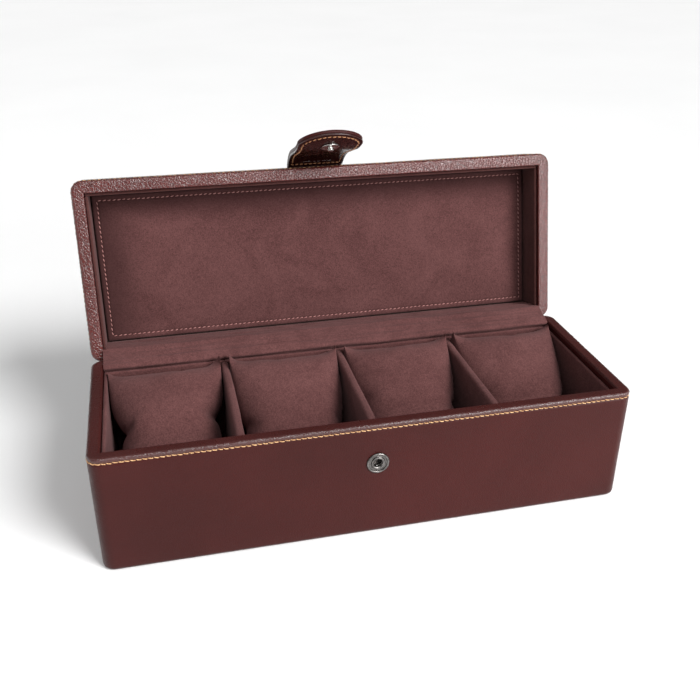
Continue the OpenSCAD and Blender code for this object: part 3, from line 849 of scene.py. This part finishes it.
RUNS = np.linspace(-60, STRAP_L, 1200)
FRAMES = [strap_frame(r) for r in RUNS]
SPOTS, OUTS = (np.array([f[k] for f in FRAMES]) for k in (0, 1))
TAB_RUN = -BEND - (HALF_D - 3 - TAB_END)  # run at the tab's rear end


def on_strap(x, run, off):
    """Points in mm in the lid's frame, from across, along and off the underside of the upper leather."""
    spot = np.stack([np.interp(run, RUNS, SPOTS[:, k]) for k in (0, 1)], -1)
    out = np.stack([np.interp(run, RUNS, OUTS[:, k]) for k in (0, 1)], -1)
    return np.concatenate([x[..., None], spot + out * np.asarray(off)[..., None]], -1)


def within(size, inset):
    """A half width moved in: by the inset near the edge, then shrinking evenly to nothing."""
    return np.where(inset <= 6, size - inset, (size - 6) * (1 - (inset - 6) / 12))


def strap_plan(inset, back, round_back):
    """[across, along] round the strap for each inset, from its back end at run back."""
    inset = np.asarray(inset, float)[None]
    fix = STRAP_L - HEAD_L
    x, run = [], []
    side = np.linspace(0, 1, 90)[:-1, None]
    begin = back + (HALF_STRAP if round_back else 0)
    half = HALF_STRAP + (HALF_HEAD - HALF_STRAP) * smooth(side * (fix - begin) + begin > 0) * np.clip(
        (side * (fix - begin) + begin) / fix, 0, 1)
    start = begin + (0 if round_back else 1) * np.minimum(inset, 6)
    x.append(within(half, inset))
    run.append(start + side * (fix - start))
    turn = np.radians(np.linspace(0, 180, 49))[:-1, None]
    x.append(np.cos(turn) * within(HALF_HEAD, inset))
    run.append(fix + np.sin(turn) * within(HEAD_L, inset))
    x.append(-within(half[::-1], inset))
    run.append(start + side[::-1] * (fix - start))
    turn = np.radians(np.linspace(180, 360, 33))[1:-1, None]
    if round_back:
        x.append(np.cos(turn) * within(HALF_STRAP, inset))
        run.append(begin + np.sin(turn) * within(HALF_STRAP, inset))
    else:
        x.append(np.linspace(-1, 1, 25)[1:-1, None] * within(HALF_STRAP, inset))
        run.append(np.repeat(start, 23, 0))
    return np.vstack(x), np.vstack(run)


def strap_layer(thick, drop, back, round_back):
    """Points and faces of one leather of the strap: rounded edges, and a seam pressed into both faces."""
    faces_in = [18, 14, 10, 6, 4.4, 3.3, 2.9, SEWN_IN, 2.3, 1.9, 1.2, 0.5, 0.12]
    press = {2.9: 0.12, SEWN_IN: 0.26, 2.3: 0.12, 0.12: 0.14, 0.5: 0.02}
    lower = [(d, drop + press.get(d, 0)) for d in faces_in]
    rim = [(0, drop + 0.45), (-0.06, drop + thick / 2), (0, drop + thick - 0.45)]
    upper = [(d, drop + thick - press.get(d, 0)) for d in reversed(faces_in)]
    section = np.array(lower + rim + upper)
    x, run = strap_plan(section[:, 0], back, round_back)
    off = np.repeat(section[None, :, 1], len(x), 0)
    return on_strap(x, run, off), grid_faces(len(x), len(section), loop_n=True)


def strap_seam(back, round_back, off, outward):
    x, run = strap_plan([SEWN_IN], back, round_back)
    low = on_strap(x, run, np.full(x.shape, off))[:, 0]
    high = on_strap(x, run, np.full(x.shape, off + outward))[:, 0]
    return along_path(low, high - low, PITCH)


def to_row(points):
    """Points of the lid's frame, in the row frame, in mm."""
    m = np.array(LID)
    return np.asarray(points) @ m[:3, :3].T + m[:3, 3] / MM


points, faces = strap_layer(OVER_T, 0, TAB_RUN, True)
strap_leather = piece("strap_leather", to_row(points), faces, bending_leather, rest=True)
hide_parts("strap_tab", "strap_neck", "strap_outer")
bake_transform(strap_leather)

points, faces = strap_layer(UNDER_T, -UNDER_T, UNDER_START, False)
under = piece("strap_under", to_row(points), faces, strap_under_leather)
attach(under, "strap")
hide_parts("strap_lining")


def strap_stitches(name, seam, material, rest=False):
    turn = np.array(LID)[:3, :3].T
    centres, along, out = seam
    return stitches(name, to_row(centres), along @ turn, out @ turn, material, radius=0.34, slant=0.26,
                    rise=0.24, rest=rest)


row = strap_stitches("strap_under_stitches", strap_seam(UNDER_START, False, -UNDER_T + 0.2, -1),
                     orange_thread)
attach(row, "strap")
row = strap_stitches("strap_over_stitches", strap_seam(TAB_RUN, True, OVER_T - 0.2, 1), bending_thread,
                     rest=True)
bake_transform(row)


# ---- snap fastener, turned parts ----


def turned(name, profile, material, node, body, at):
    """A solid of revolution from [radius, height] points in mm."""
    sides = 72
    profile = np.array(profile, float)
    angle = np.linspace(0, 2 * np.pi, sides, endpoint=False)[:, None]
    p = np.stack([profile[:, 0] * np.cos(angle), profile[:, 0] * np.sin(angle),
                  np.repeat(profile[None, :, 1], sides, 0)], -1)
    loop = profile[0, 0] > 0
    obj = piece(name, p, grid_faces(sides, len(profile), True, loop), material, at, sharp=40)
    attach(obj, body)
    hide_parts(node)


def round_bead(centre, r, a0, a1, count):
    turn = np.radians(np.linspace(a0, a1, count))
    return [(centre[0] + r * math.cos(a), centre[1] + r * math.sin(a)) for a in turn]


on_front = Matrix.Translation((0, -HALF_D * MM, SNAP_Z * MM)) @ Matrix.Rotation(math.radians(90), 4, "X")
socket = [(6.5, 0.0)] + round_bead((5.85, 0.42), 0.65, -10, 190, 12)
socket += [(5.15, 0.2), (4.9, 0.12), (4.4, 0.12), (4.15, 0.25), (4.02, 0.6)]
socket += round_bead((3.55, 0.62), 0.45, 0, 110, 7)
socket += [(2.95, 0.86), (2.62, 0.6), (2.5, 0.2), (2.5, -0.8), (3.2, -0.8), (3.2, -1.6), (2.5, -1.6)]
socket += [(2.5, -3.4), (0.001, -3.4), (0.001, -4), (3.7, -4), (3.7, -0.02), (5.5, -0.02)]
turned("snap_socket_turned", socket, gunmetal, "snap_socket", "base", on_front)

STUD_L = 53.5
stud = strap_frame(STUD_L)


def on_stud(off, outward):
    """The stud's place on the strap: off the underside of the upper leather, facing out or in."""
    p = stud[0] + off * stud[1]
    z = Vector((0, *(outward * stud[1])))
    x = Vector((1, 0, 0))
    turn = Matrix((x, z.cross(x), z)).transposed().to_4x4()
    return LID @ Matrix.Translation(Vector((0, *p)) * MM) @ turn


cap = [(0.001, 1.5), (1.5, 1.46), (3, 1.3), (4.4, 1.02), (5.2, 0.78), (5.7, 0.6)]
cap += round_bead((6.05, 0.42), 0.45, 70, -80, 8) + [(5, 0), (1.5, 0), (1.5, -1.9), (0.001, -1.9)]
turned("snap_cap_turned", cap, gunmetal, "snap_cap", "strap", on_stud(OVER_T + 0.45, 1))
disc = [(1.5, -0.6), (4.6, -0.05)] + round_bead((4.95, 0.38), 0.42, -70, 100, 8)
disc += [(4.4, 0.5), (3.9, 0.36), (3.0, 0.36), (2.5, 0.55), (2.1, 0.8), (1.62, 1.05), (1.5, 1.4), (1.72, 1.8)]
disc += [(1.78, 2.1)] + round_bead((1.25, 2.35), 0.55, 0, 90, 5) + [(0.7, 2.87), (0.001, 2.83), (0.001, -0.6)]
turned("snap_stud_turned", disc, bright_metal, "snap_stud", "strap", on_stud(-UNDER_T, -1))


# ---- cushions ----

CUSHION_W, CUSHION_L = 70.0, 103.0
TILT = math.radians(35)
MIDDLE_Y, MIDDLE_Z = 1.0, 38.6
SIDE_LIMIT, REAR_LIMIT, FRONT_LIMIT, LOW_LIMIT = 34.1, 42.4, -44, 9  # where it meets its bay
ROUNDING = 0.1  # radius of the flat cushion's corners, in metres at ten times real size


def flat_cushion(seed):
    """Two sheets of suede joined round their edge, a little apart, ten times real size."""
    nx, ny = 30, 44
    xs, ys = np.linspace(-0.5, 0.5, nx + 1), np.linspace(-0.5, 0.5, ny + 1)
    w, l = CUSHION_W / 100, CUSHION_L / 100
    random = np.random.default_rng(seed)
    index, verts, faces = {}, [], []
    for side in (1, -1):
        for j, v in enumerate(ys):
            for i, u in enumerate(xs):
                edge = i in (0, nx) or j in (0, ny)
                if edge and side < 0:
                    index[side, i, j] = index[1, i, j]
                    continue
                index[side, i, j] = len(verts)
                bulge = 0.06 * math.sqrt(max(0, 1 - 4 * u * u) * max(0, 1 - 4 * v * v))
                x, y = u * w, v * l
                dx, dy = abs(x) - (w / 2 - ROUNDING), abs(y) - (l / 2 - ROUNDING)
                if dx > 0 and dy > 0:
                    share = max(dx, dy) / math.hypot(dx, dy)
                    x -= math.copysign(dx * (1 - share), x)
                    y -= math.copysign(dy * (1 - share), y)
                verts.append((x, y, side * bulge + 0.0015 * random.standard_normal()))
    for side in (1, -1):
        for j in range(ny):
            for i in range(nx):
                square = ((i, j), (i + 1, j), (i + 1, j + 1), (i, j + 1))
                faces.append([index[side, a, b] for a, b in square][::side])
    return verts, faces


def inflate(obj, pressure):
    """Blows the cushion up with cloth simulation and returns its points."""
    modifier = obj.modifiers.new("cloth", "CLOTH")
    settings = modifier.settings
    settings.quality = 6
    settings.mass = 0.3
    settings.tension_stiffness = settings.compression_stiffness = 15
    settings.shear_stiffness = 6
    settings.bending_stiffness = 1.2
    settings.use_pressure = True
    settings.uniform_pressure_force = pressure
    settings.effector_weights.gravity = 0
    modifier.collision_settings.use_collision = False
    modifier.collision_settings.use_self_collision = False
    frames = 28
    modifier.point_cache.frame_start, modifier.point_cache.frame_end = 1, frames
    for f in range(1, frames + 1):
        bpy.context.scene.frame_set(f)
    shape = obj.evaluated_get(bpy.context.evaluated_depsgraph_get())
    points = np.array([v.co[:] for v in shape.data.vertices])
    obj.modifiers.remove(modifier)
    bpy.context.scene.frame_set(1)
    return points


def flattened(value, limit, give):
    """Values past the limit pressed back to within give of it."""
    return np.where(value > limit, limit + give * np.tanh((value - limit) / give), value)


def cushion(i, seed, ear, roll, pressure):
    """ear is how far the left and right rear corners stand up, in mm."""
    verts, faces = flat_cushion(seed)
    name = f"cushion_{i}_suede"
    mesh = bpy.data.meshes.new(name)
    mesh.from_pydata(verts, [], faces)
    obj = bpy.data.objects.new(name, mesh)
    bpy.context.scene.collection.objects.link(obj)
    flat = np.array(verts)
    p = inflate(obj, pressure) * 100  # to real size, in mm
    p *= (1.15, 1.22, 1.08)
    # The rear edge meets the lining and turns up, and its corners stand up as ears.
    u, v = flat[:, 0] / (CUSHION_W / 200), flat[:, 1] / (CUSHION_L / 200)
    back = smooth((v - 0.55) / 0.45)
    corner = smooth((np.abs(u) - 0.45) / 0.55)
    side = np.where(u > 0, ear[1], ear[0])
    p[:, 2] += back ** 2 * (corner ** 1.5 * (side + 4) - 10.5)
    p[:, 1] += back ** 2 * (corner * 1.5 - 0.5)
    p[:, 0] *= 1.04 + 0.1 * smooth((v + 0.4) / 1.2)
    front = smooth((-v - 0.6) / 0.4)
    p[:, 2] += front ** 2 * corner * 3
    p = p @ np.array(Matrix.Rotation(roll, 3, "Y")).T
    p = p @ np.array(Matrix.Rotation(TILT, 3, "X")).T
    low, high = (np.array(v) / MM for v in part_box(f"cushion_suede_{i}"))
    centre = (low + high) / 2
    p += (centre[0], MIDDLE_Y, MIDDLE_Z)
    # It lies against the walls of its bay and the floor, and flattens there.
    dx = p[:, 0] - centre[0]
    p[:, 0] = centre[0] + np.sign(dx) * flattened(np.abs(dx), SIDE_LIMIT - 2, 2)
    p[:, 2] = np.where(p[:, 2] < LOW_LIMIT, 7.5 + 1.5 * np.exp((p[:, 2] - LOW_LIMIT) / 1.5), p[:, 2])
    p[:, 1] = flattened(p[:, 1], REAR_LIMIT, 1.9)
    p[:, 1] = -flattened(-p[:, 1], -FRONT_LIMIT, 2.2)
    mesh.vertices.foreach_set("co", (p * MM).ravel())
    mesh.polygons.foreach_set("use_smooth", [True] * len(mesh.polygons))
    mesh.update()
    mesh.materials.append(cushion_suede)
    even = obj.modifiers.new("even", "SMOOTH")
    even.factor, even.iterations = 0.5, 5
    divide = obj.modifiers.new("divide", "SUBSURF")
    divide.levels = divide.render_levels = 2
    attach(obj, f"cushion_{i}")
    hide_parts(f"cushion_suede_{i}", f"cushion_filling_{i}")


cushion(1, 5, (12.0, 21.0), 0.0, 11)
cushion(2, 6, (19.0, 20.5), 0.02, 12)
cushion(3, 7, (18.0, 20.5), -0.02, 11.5)
cushion(4, 8, (19.0, 18.5), 0.015, 12)


# ---- CAD nodes that keep their shape ----

KEPT = {
    fibreboard: [f"base_{side}_board" for side in (*SIDES, "floor")]
    + [f"lid_{side}_board" for side in (*SIDES, "top")],
    brownboard: ["divider_core_1", "divider_core_2", "divider_core_3", "lid_panel_card"],
    foam_white: ["lid_panel_foam"],
    bottom_felt: ["bottom_panel"],
    bright_metal: ["snap_spring"],
    gunmetal: ["snap_post"],
}
for material, names in KEPT.items():
    for n in names:
        nodes[n].data.materials.clear()
        nodes[n].data.materials.append(material)
for i in (1, 2, 3):
    eased = nodes[f"divider_core_{i}"].modifiers.new("eased", "BEVEL")
    eased.width, eased.segments = 1.2 * MM, 3

# ---- floor, world and light ----


def stage():
    rows = (-30, 0, 30)  # metres, out of the camera's view
    p = np.array([[(x, y, 0) for y in rows] for x in rows])
    mesh = bpy.data.meshes.new("floor")
    mesh.from_pydata(p.reshape(-1, 3).tolist(), [], grid_faces(3, 3).tolist())
    mesh.polygons.foreach_set("use_smooth", [True] * len(mesh.polygons))
    mesh.materials.append(floor_paper)
    obj = bpy.data.objects.new("floor", mesh)
    bpy.context.scene.collection.objects.link(obj)


def light(name, kind, place, aim, energy, size):
    """size is the angle of a sun, or the width and height of an area."""
    data = bpy.data.lights.new(name, kind)
    data.energy = energy
    if kind == "SUN":
        data.angle = size
    else:
        data.shape = "RECTANGLE"
        data.size, data.size_y = size
    obj = bpy.data.objects.new(name, data)
    obj.location = place
    obj.rotation_mode = "QUATERNION"
    obj.rotation_quaternion = (Vector(aim) - Vector(place)).to_track_quat("-Z", "Y")
    bpy.context.scene.collection.objects.link(obj)


stage()
light("key", "SUN", (0.5, -0.6, 0.62), (0, 0, 0), 3.1, math.radians(26))
light("overhead", "SUN", (-0.1, -0.5, 0.86), (0, 0, 0), 0.6, math.radians(24))
light("front_strip", "AREA", (0.75, -1.15, 0.44), (0.05, 0.0, 0.14), 13, (1.0, 0.45))
light("left_strip", "AREA", (-1.5, 0.45, 0.25), (-0.1, 0, 0.08), 4, (0.4, 0.4))
world = bpy.data.worlds.new("studio")
sky = Tree(world)
inputs = {0: sky.add("ShaderNodeTexCoord")["Generated"], 1: (-0.55, -0.25, 0.8)}  # brighter that way
toward = sky.add("ShaderNodeVectorMath", inputs, operation="DOT_PRODUCT")["Value"]
inputs = {"Value": toward, "From Min": 0.1, "From Max": 1.0, "To Min": 0.08, "To Max": 0.42}
background = sky.tree.nodes["Background"].inputs
sky.put(background["Strength"], sky.add("ShaderNodeMapRange", inputs)["Result"])
sky.put(background["Color"], (1, 1, 1, 1))
bpy.context.scene.world = world
bpy.context.scene.view_settings.view_transform = "Standard"
bpy.context.scene.view_settings.look = "None"
